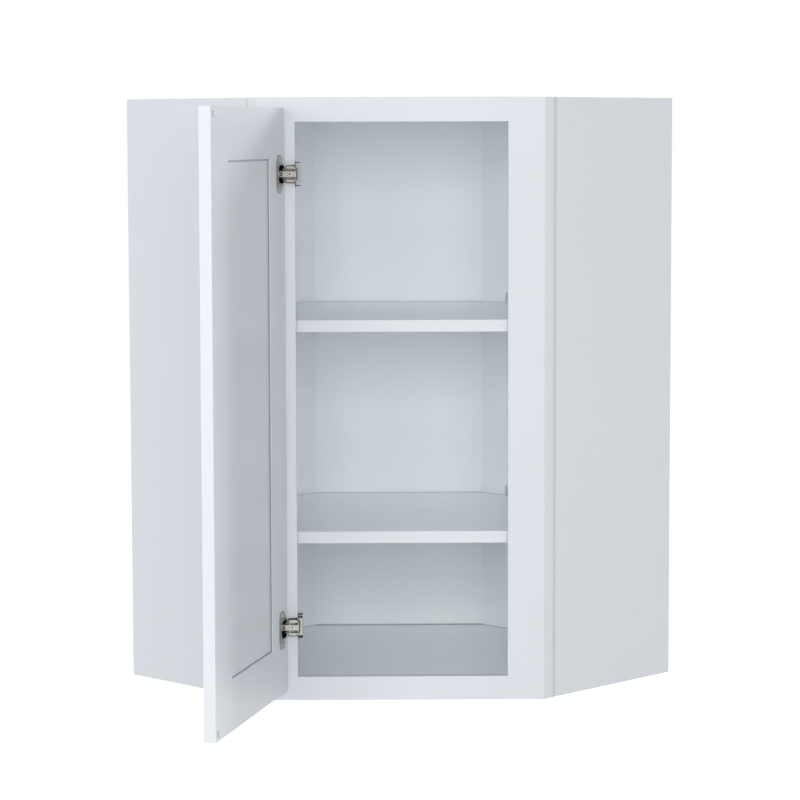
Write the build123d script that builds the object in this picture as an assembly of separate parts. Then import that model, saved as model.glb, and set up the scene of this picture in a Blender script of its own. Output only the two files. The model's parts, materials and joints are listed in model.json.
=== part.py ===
from build123d import *
from math import cos, radians, sin, sqrt
import os

# Diagonal corner wall cabinet with a face frame, one shaker door and two
# adjustable shelves. Millimetres, +Z up. The origin is at the middle of the
# face frame's lower edge, on its front plane. -Y points into the room and +Y
# towards the corner of the two walls.

# Case
CASE_HEIGHT = 914.4
FACE_WIDTH = 431.0
SIDE_DEPTH = 301.0
SIDE_THICKNESS = 12.7
BACK_THICKNESS = 12.0
BACK_FLAT_WIDTH = 281.2
FLOOR_THICKNESS = 12.7
FLOOR_TOP = 30.5
DADO_DEPTH = 6.0
DADO_PLAY = 0.1

# Face frame
FRAME_THICKNESS = 16.0
STILE_WIDTH = 55.5
RAIL_HEIGHT = 36.4
STILE_CORNER_RADIUS = 1.5
DOWEL_RADIUS = 4.0
DOWEL_LENGTH = 30.0
DOWEL_SPACING = 18.0
DOWEL_PLAY = 0.05

# Shelves
SHELF_THICKNESS = 18.0
UPPER_SHELF_TOP = 579.4
LOWER_SHELF_TOP = 256.7
SHELF_SETBACK = 3.0
SHELF_PLAY = 3.0
EDGE_BAND = 1.0

# Shelf supports
CLIP_WIDTH = 14.0
CLIP_THICKNESS = 2.0
CLIP_REACH = 13.0
CLIP_RISE = 17.0
CLIP_DROP = 9.0
CLIP_SEAT_GAP = 0.2
PEG_RADIUS = 2.45
PEG_LENGTH = 8.5
PEG_DROP = 5.0
PEG_HOLE_RADIUS = 2.5
PEG_HOLE_DEPTH = 9.0
PEG_PITCH = 32.0
CLIP_RIB = 3.0
SIDE_CLIP_SETBACK = 60.0
BACK_CLIP_SETBACK = 60.0

# Door
DOOR_SIDE_OVERLAY = 31.0
DOOR_END_REVEAL = 15.9
DOOR_THICKNESS = 18.0
DOOR_GAP = 3.2
DOOR_OPEN_ANGLE = 103.5
DOOR_CORNER_CLEARANCE = 0.83
DOOR_STILE_WIDTH = 84.0
DOOR_RAIL_WIDTH = 75.0
DOOR_EDGE_RADIUS = 1.0
PANEL_FRONT_RECESS = 6.0
PANEL_BACK_RECESS = 2.0
PANEL_MARGIN = 2.5
GROOVE_WIDTH = 6.0
GROOVE_DEPTH = 8.0
TONGUE_LENGTH = 7.0
TONGUE_PLAY = 0.1
BUMPER_RADIUS = 5.0
BUMPER_THICKNESS = 3.0
BUMPER_INSET = 11.0

# Hinges
HINGE_INSET = 98.3
CUP_EDGE_WOOD = 3.5
CUP_BORE_RADIUS = 17.5
CUP_BORE_PLAY = 0.1
CUP_WALL = 1.0
CUP_MOUTH_LIP = 4.0
PIN_RIM_DISTANCE = 3.5
PIN_RADIUS = 1.1
PIN_PLAY = 0.05
PIN_END_GAP = 0.25
FLANGE_THICKNESS = 1.2
FLANGE_OFFSET = 9.5
FLANGE_WIDTH = 28.0
FLANGE_HEIGHT = 57.0
FLANGE_CORNER = 9.0
FLANGE_RING_LAP = 0.9
SCREW_PITCH = 45.0
SCREW_RADIUS = 1.8
SCREW_HEAD_RADIUS = 3.6
SCREW_HEAD_HEIGHT = 1.2
SCREW_LENGTH = 13.0
SCREW_PLAY = 0.1
SHEET = 1.5
KNUCKLE_RADIUS = 2.1
KNUCKLE_OUTER = 5.2
KNUCKLE_INNER = 1.9
LUG_GAP = 0.4
LUG_THICKNESS = 2.8
LUG_REACH = 3.5
SPRING_RADIUS = 0.6
SPRING_LEAD = 0.3
SPRING_TIP_GAP = 4.4
SPRING_GAP = 0.4
SPRING_FLOOR_GAP = 0.3
NOSE_LEAD = 10.5
NOSE_OVERHANG = 3.5
NOSE_SIDE_GAP = 0.5
NOSE_RIM_GAP = 0.9
NOSE_SLOT_LENGTH = 12.5
NOSE_SLOT_WIDTH = 3.0
NOSE_SLOT_SPACING = 12.4
ARM_HALF = 13.5
ARM_STANDOFF = 0.3
ARM_SETBACK = 1.5
ARM_RISE = 5.9
STRIP_THICKNESS = 1.2
STRIP_LAP = 7.5
PLATE_THICKNESS = 1.6
PLATE_HALF = 18.2
PLATE_TIP = 19.4
EAR_REACH = 6.2
EAR_SETBACK = 1.0
TAB_REACH = 8.0
TAB_HALF = 9.0
ADJUSTER_OFFSET = 2.7
ADJUSTER_HEAD_RADIUS = 3.5
ADJUSTER_RADIUS = 1.95
ADJUSTER_LENGTH = 8.5
BLOCK_WIDTH = 7.6
BLOCK_DEPTH = 7.5
BLOCK_GAP = 2.5
FRAME_SCREW_HEAD_RADIUS = 3.9
FRAME_SCREW_HEAD_HEIGHT = 2.0
FRAME_SCREW_LENGTH = 18.0

# Derived places
COS45 = sqrt(0.5)
OPEN_SIN = sin(radians(DOOR_OPEN_ANGLE))
OPEN_COS = cos(radians(DOOR_OPEN_ANGLE))
HALF_FACE = FACE_WIDTH / 2
HALF_OPENING = HALF_FACE - STILE_WIDTH
SIDE_RUN = SIDE_DEPTH * COS45
WALL_SUM = HALF_FACE + 2 * SIDE_RUN
BACK_SUM = WALL_SUM - BACK_THICKNESS / COS45
SIDE_SUM = -HALF_FACE + SIDE_THICKNESS / COS45
BACK_FLAT_Y = BACK_SUM - BACK_FLAT_WIDTH / 2
HALF_DOOR = HALF_OPENING + DOOR_SIDE_OVERLAY
DOOR_BOTTOM = DOOR_END_REVEAL
DOOR_TOP = CASE_HEIGHT - DOOR_END_REVEAL
DOOR_EDGE = -HALF_DOOR
DOOR_BACK = -DOOR_GAP
DOOR_FRONT = DOOR_BACK - DOOR_THICKNESS
GROOVE_FRONT = DOOR_FRONT + PANEL_FRONT_RECESS
LOWER_HINGE_Z = DOOR_BOTTOM + HINGE_INSET
UPPER_HINGE_Z = DOOR_TOP - HINGE_INSET
FRAME_MIDDLE = FRAME_THICKNESS / 2

CUP_INSET = CUP_EDGE_WOOD + CUP_BORE_RADIUS
CUP_INNER = CUP_BORE_RADIUS - CUP_BORE_PLAY - CUP_WALL
CUP_MOUTH_HALF = CUP_BORE_RADIUS - CUP_MOUTH_LIP
CUP_X = DOOR_EDGE + CUP_INSET

# The pin lies just deep enough in the door for the open door's front corner to
# stay clear of the face frame.
PIN_INSET = CUP_EDGE_WOOD + PIN_RIM_DISTANCE
PIN_DEPTH = (
    PIN_INSET * OPEN_SIN - DOOR_THICKNESS * OPEN_COS - DOOR_GAP + DOOR_CORNER_CLEARANCE
) / (1 - OPEN_COS)
PIVOT_X = DOOR_EDGE + PIN_INSET
PIVOT_Y = DOOR_BACK - PIN_DEPTH
PIN_REACH = CUP_X - PIVOT_X + PIN_RADIUS
PIN_HALF = sqrt(CUP_BORE_RADIUS**2 - PIN_REACH**2) - PIN_END_GAP
LUG_INNER = KNUCKLE_OUTER + LUG_GAP
LUG_OUTER = LUG_INNER + LUG_THICKNESS
SPRING_HALF_WIDTH = KNUCKLE_OUTER - SPRING_RADIUS
SPRING_DEPTH = PIN_DEPTH + KNUCKLE_RADIUS + SPRING_GAP + SPRING_RADIUS
CUP_FLOOR = SPRING_DEPTH + SPRING_RADIUS + SPRING_FLOOR_GAP
CUP_DEPTH = CUP_FLOOR + CUP_WALL
FLANGE_X = CUP_X + FLANGE_OFFSET
FLANGE_FACE = DOOR_BACK + FLANGE_THICKNESS
PLATE_FACE = -HALF_OPENING + PLATE_THICKNESS
WEB_FRONT = PIVOT_Y - KNUCKLE_RADIUS
WEB_BACK = WEB_FRONT + SHEET
NOSE_LEFT = PIVOT_X + NOSE_LEAD
NOSE_RIGHT = -HALF_OPENING + NOSE_OVERHANG
NOSE_HALF = CUP_MOUTH_HALF - NOSE_SIDE_GAP
ADJUSTER_X = CUP_X + ADJUSTER_OFFSET
BLOCK_HALF = NOSE_HALF - SHEET - BLOCK_GAP
STRIP_FRONT = -ARM_STANDOFF - STRIP_THICKNESS
ARM_OUTER = PLATE_FACE + ARM_RISE
ARM_REACH = FRAME_THICKNESS - ARM_SETBACK


def prism(points, bottom, top):
    """Upright solid with the given plan outline."""
    outline = make_face(Polyline(*points, close=True))
    return Pos(0, 0, bottom) * extrude(outline, top - bottom, dir=(0, 0, 1))


def block(x, y, z):
    """Box between the given low and high limits along each axis."""
    size = [high - low for low, high in (x, y, z)]
    centre = [(high + low) / 2 for low, high in (x, y, z)]
    return Pos(*centre) * Box(*size)


def rod_x(radius, start, end, y, z):
    """Round bar along X."""
    middle = Pos((start + end) / 2, y, z)
    return middle * Rot(0, 90, 0) * Cylinder(radius, abs(end - start))


def rod_y(radius, start, end, x, z):
    """Round bar along Y."""
    middle = Pos(x, (start + end) / 2, z)
    return middle * Rot(90, 0, 0) * Cylinder(radius, abs(end - start))


def rod_z(radius, start, end, x, y):
    """Round bar along Z."""
    return Pos(x, y, (start + end) / 2) * Cylinder(radius, abs(end - start))


def flip(part):
    """The same piece on the other side of the cabinet."""
    return mirror(part, about=Plane.YZ)


def both(points):
    """Outline made of the given left half and its mirror image."""
    return points + [(-x, y) for x, y in reversed(points)]


def side_point(inward, y):
    """Point at the given depth on a line parallel to the left side."""
    return (SIDE_SUM + inward / COS45 - y, y)


def side_end_point(inward):
    """Point at the given depth in the left side, just behind the back panel's face."""
    return side_point(inward, (SIDE_SUM + (inward + DADO_PLAY) / COS45 + BACK_SUM) / 2)


def inner_outline(side_gap, back_gap, front):
    """Plan outline inside the case, drawn in by the given gaps."""
    side = SIDE_SUM + side_gap / COS45
    back = BACK_SUM - back_gap / COS45
    flat = BACK_FLAT_Y - back_gap
    corner = ((side - back) / 2, (side + back) / 2)
    return both([(side - front, front), corner, (flat - back, flat)])


# Face frame

def dowel_heights(rail_bottom):
    middle = rail_bottom + RAIL_HEIGHT / 2
    return [middle - DOWEL_SPACING / 2, middle + DOWEL_SPACING / 2]


def dowel_bars(radius, length, side):
    bars = []
    for rail_bottom in (0, CASE_HEIGHT - RAIL_HEIGHT):
        for z in dowel_heights(rail_bottom):
            centre = side * HALF_OPENING
            ends = (centre - length / 2, centre + length / 2)
            bars.append(rod_x(radius, *ends, FRAME_MIDDLE, z))
    return bars


def dowel_holes(side):
    return dowel_bars(DOWEL_RADIUS + DOWEL_PLAY, DOWEL_LENGTH + 1, side)


def make_stile():
    outline = [
        (-HALF_OPENING, 0),
        (-HALF_FACE, 0),
        (-HALF_FACE - FRAME_THICKNESS, FRAME_THICKNESS),
        (-HALF_OPENING, FRAME_THICKNESS),
    ]
    stile = prism(outline, 0, CASE_HEIGHT)
    corner = stile.edges().filter_by(Axis.Z).sort_by_distance((-HALF_FACE, 0, CASE_HEIGHT / 2))
    stile = fillet(corner[0], STILE_CORNER_RADIUS)
    return stile - dowel_holes(-1)


def make_left_stile(stile):
    end = PLATE_FACE + SHEET - FRAME_SCREW_LENGTH - 1
    for z in (LOWER_HINGE_Z, UPPER_HINGE_Z):
        stile -= rod_x(SCREW_RADIUS + SCREW_PLAY, end, -HALF_OPENING, FRAME_MIDDLE, z)
    return stile


def make_rail(bottom):
    width = (-HALF_OPENING, HALF_OPENING)
    rail = block(width, (0, FRAME_THICKNESS), (bottom, bottom + RAIL_HEIGHT))
    return rail - dowel_holes(-1) - dowel_holes(1)


# Case

def peg_heights():
    heights = []
    for shelf_top in (LOWER_SHELF_TOP, UPPER_SHELF_TOP):
        seat = shelf_top - SHELF_THICKNESS - PEG_DROP
        heights += [seat - PEG_PITCH, seat, seat + PEG_PITCH]
    return heights


def side_clip_place():
    """Left side support: a plane on the wall whose Y axis points inward."""
    x, y = side_point(0, FRAME_THICKNESS + SIDE_CLIP_SETBACK * COS45)
    return Pos(x, y, 0) * Rot(0, 0, -45)


def back_clip_place():
    """Left back support, on the inner face of the 45 degree wall panel."""
    x = BACK_FLAT_Y - BACK_SUM - BACK_CLIP_SETBACK * COS45
    return Pos(x, BACK_SUM + x, 0) * Rot(0, 0, -135)


def peg_holes(place):
    return [
        place * rod_y(PEG_HOLE_RADIUS, -PEG_HOLE_DEPTH, 1, 0, z)
        for z in peg_heights()
    ]


def floor_levels():
    lower = (FLOOR_TOP - FLOOR_THICKNESS, FLOOR_TOP)
    upper = (CASE_HEIGHT - FLOOR_TOP, CASE_HEIGHT - FLOOR_TOP + FLOOR_THICKNESS)
    return lower, upper


def make_side_panel():
    outer_end = (-HALF_FACE - SIDE_RUN, SIDE_RUN)
    step = SIDE_THICKNESS * COS45
    inner_end = (outer_end[0] + step, outer_end[1] + step)
    outer_start = (-HALF_FACE - FRAME_THICKNESS, FRAME_THICKNESS)
    outline = [outer_start, outer_end, inner_end, side_point(0, FRAME_THICKNESS)]
    panel = prism(outline, 0, CASE_HEIGHT)
    groove = [
        side_point(-DADO_DEPTH, 0),
        side_end_point(-DADO_DEPTH),
        side_end_point(1),
        side_point(1, 0),
    ]
    for bottom, top in floor_levels():
        panel -= prism(groove, bottom - DADO_PLAY, top + DADO_PLAY)
    return panel - peg_holes(side_clip_place())


def make_back_panel():
    side_outer = ((SIDE_SUM - WALL_SUM) / 2, (SIDE_SUM + WALL_SUM) / 2)
    side_inner = ((SIDE_SUM - BACK_SUM) / 2, (SIDE_SUM + BACK_SUM) / 2)
    flat_outer = BACK_FLAT_Y + BACK_THICKNESS
    outline = [
        side_inner,
        side_outer,
        (flat_outer - WALL_SUM, flat_outer),
        (BACK_FLAT_Y - BACK_SUM, BACK_FLAT_Y),
    ]
    panel = prism(outline, 0, CASE_HEIGHT)
    return panel - peg_holes(back_clip_place())


def make_centre_back_panel():
    flat_outer = BACK_FLAT_Y + BACK_THICKNESS
    inner = (BACK_FLAT_Y - BACK_SUM, BACK_FLAT_Y)
    outer = (flat_outer - WALL_SUM, flat_outer)
    return prism(both([inner, outer]), 0, CASE_HEIGHT)


def make_floor(level):
    outline = inner_outline(2 * DADO_PLAY - DADO_DEPTH, 0, FRAME_THICKNESS)
    return prism(outline, *level)


# Shelves

def shelf_level(shelf_top):
    return shelf_top - SHELF_THICKNESS, shelf_top


def make_shelf(shelf_top):
    front = FRAME_THICKNESS + SHELF_SETBACK + EDGE_BAND
    outline = inner_outline(SHELF_PLAY, SHELF_PLAY, front)
    return prism(outline, *shelf_level(shelf_top))


def make_edge_band(shelf_top):
    front = FRAME_THICKNESS + SHELF_SETBACK
    end = side_point(SHELF_PLAY, front + EDGE_BAND)[0]
    return block((end, -end), (front, front + EDGE_BAND), shelf_level(shelf_top))


def make_clip(shelf_top):
    """One support at a wall: peg along -Y, ledge and catch along +Y."""
    seat = shelf_top - SHELF_THICKNESS
    half = CLIP_WIDTH / 2
    ledge_top = seat - CLIP_SEAT_GAP
    strip = block(
        (-half, half),
        (0, CLIP_THICKNESS),
        (seat - CLIP_DROP, shelf_top + CLIP_RISE),
    )
    ledge = block(
        (-half, half),
        (0, CLIP_REACH),
        (ledge_top - CLIP_THICKNESS, ledge_top),
    )
    rib = extrude(
        Plane.YZ * make_face(Polyline(
            (0, seat - CLIP_DROP),
            (CLIP_THICKNESS, seat - CLIP_DROP),
            (CLIP_REACH, ledge_top - CLIP_THICKNESS),
            (0, ledge_top - CLIP_THICKNESS),
            close=True,
        )),
        CLIP_RIB / 2,
        both=True,
    )
    catch_bottom = shelf_top + CLIP_SEAT_GAP
    catch = block(
        (-half / 2, half / 2),
        (0, 2 * SHELF_PLAY),
        (catch_bottom, catch_bottom + CLIP_THICKNESS),
    )
    peg = rod_y(PEG_RADIUS, -PEG_LENGTH, 0, 0, seat - PEG_DROP)
    return strip + ledge + rib + catch + peg


def make_clips(shelf_top):
    clip = make_clip(shelf_top)
    left = [side_clip_place() * clip, back_clip_place() * clip]
    return Compound(children=left + [flip(part) for part in left])


# Door, drawn closed and then swung open about the hinge pins

def swing(part):
    to_pivot = Pos(PIVOT_X, PIVOT_Y, 0)
    back = Pos(-PIVOT_X, -PIVOT_Y, 0)
    return to_pivot * Rot(0, 0, -DOOR_OPEN_ANGLE) * back * part


def soften_outer(part, x_edges, z_edges):
    """Round the edges of a door board that lie on the door's outline."""
    chosen = []
    for edge in part.edges():
        middle = edge.center()
        on_face = min(abs(middle.Y - DOOR_BACK), abs(middle.Y - DOOR_FRONT)) < 0.01
        on_side = any(abs(middle.X - x) < 0.01 for x in x_edges)
        on_end = any(abs(middle.Z - z) < 0.01 for z in z_edges)
        if on_face and (on_side or on_end):
            chosen.append(edge)
    return fillet(chosen, DOOR_EDGE_RADIUS)


def groove_span(play):
    return GROOVE_FRONT + play, GROOVE_FRONT + GROOVE_WIDTH - play


def make_door_stile(side):
    outer = side * HALF_DOOR
    inner = side * (HALF_DOOR - DOOR_STILE_WIDTH)
    x = (min(outer, inner), max(outer, inner))
    stile = block(x, (DOOR_FRONT, DOOR_BACK), (DOOR_BOTTOM, DOOR_TOP))
    stile = soften_outer(stile, [outer], [DOOR_BOTTOM, DOOR_TOP])
    deep = inner + side * GROOVE_DEPTH
    groove_x = (min(deep, inner), max(deep, inner))
    return stile - block(groove_x, groove_span(0), (DOOR_BOTTOM, DOOR_TOP))


def make_hinge_stile():
    stile = make_door_stile(-1)
    for z in (LOWER_HINGE_Z, UPPER_HINGE_Z):
        bore_end = DOOR_BACK - CUP_DEPTH - CUP_BORE_PLAY
        stile -= rod_y(CUP_BORE_RADIUS, bore_end, DOOR_BACK, CUP_X, z)
        for offset in (-SCREW_PITCH / 2, SCREW_PITCH / 2):
            hole_end = DOOR_BACK - SCREW_LENGTH - SCREW_PLAY
            hole_radius = SCREW_RADIUS + SCREW_PLAY
            stile -= rod_y(hole_radius, hole_end, DOOR_BACK, FLANGE_X, z + offset)
    return stile


def make_door_rail(bottom, outer_z):
    half = HALF_DOOR - DOOR_STILE_WIDTH
    top = bottom + DOOR_RAIL_WIDTH
    rail = block((-half, half), (DOOR_FRONT, DOOR_BACK), (bottom, top))
    rail = soften_outer(rail, [], [outer_z])
    reach = half + TONGUE_LENGTH
    tenons = block((-reach, reach), groove_span(TONGUE_PLAY), (bottom, top))
    rail += tenons
    inner = top if outer_z == bottom else bottom
    deep = inner - GROOVE_DEPTH if outer_z == bottom else inner + GROOVE_DEPTH
    groove_z = (min(inner, deep), max(inner, deep))
    return rail - block((-reach, reach), groove_span(0), groove_z)


def make_door_panel():
    half = HALF_DOOR - DOOR_STILE_WIDTH
    low = DOOR_BOTTOM + DOOR_RAIL_WIDTH
    high = DOOR_TOP - DOOR_RAIL_WIDTH
    reach = TONGUE_LENGTH
    plate = block(
        (-half - reach, half + reach),
        groove_span(TONGUE_PLAY),
        (low - reach, high + reach),
    )
    field = block(
        (-half + PANEL_MARGIN, half - PANEL_MARGIN),
        (GROOVE_FRONT + TONGUE_PLAY, DOOR_BACK - PANEL_BACK_RECESS),
        (low + PANEL_MARGIN, high - PANEL_MARGIN),
    )
    return plate + field


def make_bumpers():
    x = HALF_DOOR - BUMPER_INSET
    pads = [
        rod_y(BUMPER_RADIUS, DOOR_BACK, DOOR_BACK + BUMPER_THICKNESS, x, z)
        for z in (DOOR_BOTTOM + BUMPER_INSET, DOOR_TOP - BUMPER_INSET)
    ]
    return Compound(children=[swing(pad) for pad in pads])


# Hinges. Inset and depth are measured on the closed door: inset from its hinge
# edge along +X, depth from its back face along -Y.

def door_block(inset, depth, z):
    x = tuple(DOOR_EDGE + value for value in inset)
    y = tuple(DOOR_BACK - value for value in reversed(depth))
    return block(x, y, z)


def around(z, half):
    """Limits that lie evenly on both sides of a height."""
    return z - half, z + half


def rim(z, outer, thickness):
    """Limits of the two walls whose outer faces lie at z plus or minus outer."""
    return [(z - outer, z - outer + thickness), (z + outer - thickness, z + outer)]


def cup_cavity(z):
    """Space in the bowl and flange, open at the hinge edge for the arm."""
    bottom = DOOR_BACK - CUP_FLOOR
    round_part = rod_y(CUP_INNER, bottom, FLANGE_FACE + 1, CUP_X, z)
    return round_part & block(
        around(CUP_X, CUP_BORE_RADIUS),
        (bottom, FLANGE_FACE + 1),
        around(z, CUP_MOUTH_HALF),
    )


def make_cup(z):
    radius = CUP_BORE_RADIUS - CUP_BORE_PLAY
    bottom = DOOR_BACK - CUP_FLOOR
    cup = rod_y(radius, DOOR_BACK - CUP_DEPTH, DOOR_BACK, CUP_X, z)
    cup += rod_y(CUP_BORE_RADIUS + FLANGE_RING_LAP, DOOR_BACK, FLANGE_FACE, CUP_X, z)
    wing = RectangleRounded(FLANGE_WIDTH, FLANGE_HEIGHT, FLANGE_CORNER)
    cup += Pos(FLANGE_X, FLANGE_FACE, z) * extrude(Plane.XZ * wing, FLANGE_THICKNESS)
    cup -= cup_cavity(z)
    lug_end = PIN_INSET + LUG_REACH
    lugs = door_block((0, lug_end), (0, CUP_FLOOR), around(z, LUG_OUTER))
    cup += lugs & rod_y(radius, bottom, DOOR_BACK, CUP_X, z)
    cup -= door_block((0, lug_end + 1), (-2 * FLANGE_THICKNESS, CUP_FLOOR), around(z, LUG_INNER))
    cup -= rod_z(PIN_RADIUS, *around(z, PIN_HALF + 1), PIVOT_X, PIVOT_Y)
    for height in around(z, SCREW_PITCH / 2):
        hole_radius = SCREW_RADIUS + SCREW_PLAY
        cup -= rod_y(hole_radius, DOOR_BACK - 1, FLANGE_FACE + 1, FLANGE_X, height)
    return cup


def make_pivot_pin(z):
    return rod_z(PIN_RADIUS, *around(z, PIN_HALF), PIVOT_X, PIVOT_Y)


def make_spring(z):
    """Wire bent to a U, lying on the cup's floor under the arm's knuckles."""
    y = DOOR_BACK - SPRING_DEPTH
    start = PIVOT_X + SPRING_LEAD
    tip = CUP_X + CUP_INNER - SPRING_TIP_GAP
    turn = tip - SPRING_HALF_WIDTH
    low, high = around(z, SPRING_HALF_WIDTH)
    path = Wire([
        Line((start, y, high), (turn, y, high)),
        ThreePointArc((turn, y, high), (tip, y, z), (turn, y, low)),
        Line((turn, y, low), (start, y, low)),
    ])
    profile = Plane((start, y, high), z_dir=(1, 0, 0)) * Circle(SPRING_RADIUS)
    return sweep(profile, path)


def cross_recess(radius, depth):
    """Cutter for a screw head, at the origin and cutting towards -Z."""
    slot = Box(radius * 0.26, radius * 1.2, 2 * depth)
    return slot + Rot(0, 0, 90) * slot


def make_screw(head_radius, head_height, radius, length):
    """Screw along -Z with the underside of its head at the origin."""
    head = Pos(0, 0, head_height / 2) * Cylinder(head_radius, head_height)
    head = fillet(head.edges().group_by(Axis.Z)[-1], head_height / 2.5)
    head -= Pos(0, 0, head_height) * cross_recess(head_radius, head_height * 0.65)
    shank = Pos(0, 0, -length / 2) * Cylinder(radius, length)
    return head + chamfer(shank.edges().group_by(Axis.Z)[0], radius * 0.6)


def make_cup_screws(z):
    screw = make_screw(SCREW_HEAD_RADIUS, SCREW_HEAD_HEIGHT, SCREW_RADIUS, SCREW_LENGTH)
    placed = [
        Pos(FLANGE_X, FLANGE_FACE, height) * Rot(-90, 0, 0) * screw
        for height in around(z, SCREW_PITCH / 2)
    ]
    return Compound(children=[swing(part) for part in placed])


def make_nose(z):
    """Front box of the arm, rounded at its end to pass the cup's rim."""
    x = (NOSE_LEFT, NOSE_RIGHT)
    nose = block(x, (WEB_FRONT, WEB_BACK), around(z, NOSE_HALF))
    for wall in rim(z, NOSE_HALF, SHEET):
        nose += block(x, (WEB_BACK, -ARM_STANDOFF), wall)
    nose += block((NOSE_RIGHT - SHEET, NOSE_RIGHT), (WEB_BACK, STRIP_FRONT), around(z, NOSE_HALF))
    slot = extrude(Plane.XZ * SlotOverall(NOSE_SLOT_LENGTH, NOSE_SLOT_WIDTH), SHEET)
    for height in around(z, NOSE_SLOT_SPACING / 2):
        nose -= Pos((NOSE_LEFT + NOSE_RIGHT) / 2, WEB_BACK, height) * slot
    nose -= rod_y(ADJUSTER_RADIUS + SCREW_PLAY, WEB_FRONT - 1, WEB_BACK + 1, ADJUSTER_X, z)
    return nose & rod_y(CUP_INNER - NOSE_RIM_GAP, WEB_FRONT, -ARM_STANDOFF, CUP_X, z)


def make_knuckles(z):
    """Tongue that ends in two rings round the pivot pin."""
    tongue = block((PIVOT_X, NOSE_LEFT + 1), (WEB_FRONT, WEB_BACK), around(z, KNUCKLE_OUTER))
    tongue += rod_z(KNUCKLE_RADIUS, *around(z, KNUCKLE_OUTER), PIVOT_X, PIVOT_Y)
    return tongue - block(
        (PIVOT_X - 2 * KNUCKLE_RADIUS, PIVOT_X + 2 * KNUCKLE_RADIUS),
        around(PIVOT_Y, 2 * KNUCKLE_RADIUS),
        around(z, KNUCKLE_INNER),
    )


def make_arm_tube(z):
    """Rear of the arm: a square tube on the plate, closed towards the room."""
    height = around(z, ARM_HALF)
    tube = block((PLATE_FACE, ARM_OUTER), (STRIP_FRONT, ARM_REACH), height)
    tube += block((NOSE_RIGHT - STRIP_LAP, ARM_OUTER), (STRIP_FRONT, -ARM_STANDOFF), height)
    tube -= block(
        (PLATE_FACE + SHEET, ARM_OUTER - SHEET),
        (-ARM_STANDOFF, ARM_REACH + 1),
        around(z, ARM_HALF - SHEET),
    )
    hole = (PLATE_FACE - 1, PLATE_FACE + SHEET + 1)
    tube -= rod_x(SCREW_RADIUS + SCREW_PLAY, *hole, FRAME_MIDDLE, z)
    access = (ARM_OUTER - SHEET - 1, ARM_OUTER + 1)
    return tube - rod_x(FRAME_SCREW_HEAD_RADIUS + 4 * SCREW_PLAY, *access, FRAME_MIDDLE, z)


def make_arm(z):
    arm = make_nose(z) + make_knuckles(z) + make_arm_tube(z)
    return arm - rod_z(PIN_RADIUS + PIN_PLAY, *around(z, KNUCKLE_OUTER + 1), PIVOT_X, PIVOT_Y)


def make_adjusting_block(z):
    x = around(ADJUSTER_X, BLOCK_WIDTH / 2)
    y = (WEB_BACK, WEB_BACK + BLOCK_DEPTH)
    lump = block(x, y, around(z, BLOCK_HALF))
    return lump - rod_y(ADJUSTER_RADIUS, y[0], y[1] + 1, ADJUSTER_X, z)


def make_adjusting_screw(z):
    size = (ADJUSTER_HEAD_RADIUS, SCREW_HEAD_HEIGHT, ADJUSTER_RADIUS, ADJUSTER_LENGTH)
    return Pos(ADJUSTER_X, WEB_FRONT, z) * Rot(90, 0, 0) * make_screw(*size)


def make_frame_plate(z):
    edge = (-HALF_OPENING, PLATE_FACE)
    back = (FRAME_THICKNESS, FRAME_THICKNESS + PLATE_THICKNESS)
    plate = block(edge, (0, back[1]), around(z, PLATE_HALF))
    plate += block(edge, (0, FRAME_MIDDLE), around(z, PLATE_TIP))
    plate += block((-HALF_OPENING - TAB_REACH, PLATE_FACE), back, around(z, TAB_HALF))
    for ear in rim(z, PLATE_HALF, PLATE_THICKNESS):
        plate += block((PLATE_FACE, PLATE_FACE + EAR_REACH), (EAR_SETBACK, ARM_REACH), ear)
    hole = (-HALF_OPENING - 1, PLATE_FACE + 1)
    return plate - rod_x(SCREW_RADIUS + SCREW_PLAY, *hole, FRAME_MIDDLE, z)


def make_frame_screw(z):
    size = (FRAME_SCREW_HEAD_RADIUS, FRAME_SCREW_HEAD_HEIGHT, SCREW_RADIUS, FRAME_SCREW_LENGTH)
    return Pos(PLATE_FACE + SHEET, FRAME_MIDDLE, z) * Rot(0, 90, 0) * make_screw(*size)


def hinge_nodes(name, z):
    return {
        f"{name}_hinge_cup": swing(make_cup(z)),
        f"{name}_cup_screws": make_cup_screws(z),
        f"{name}_pivot_pin": swing(make_pivot_pin(z)),
        f"{name}_closing_spring": swing(make_spring(z)),
        f"{name}_hinge_arm": make_arm(z),
        f"{name}_adjusting_block": make_adjusting_block(z),
        f"{name}_adjusting_screw": make_adjusting_screw(z),
        f"{name}_frame_plate": make_frame_plate(z),
        f"{name}_frame_screw": make_frame_screw(z),
    }


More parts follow.
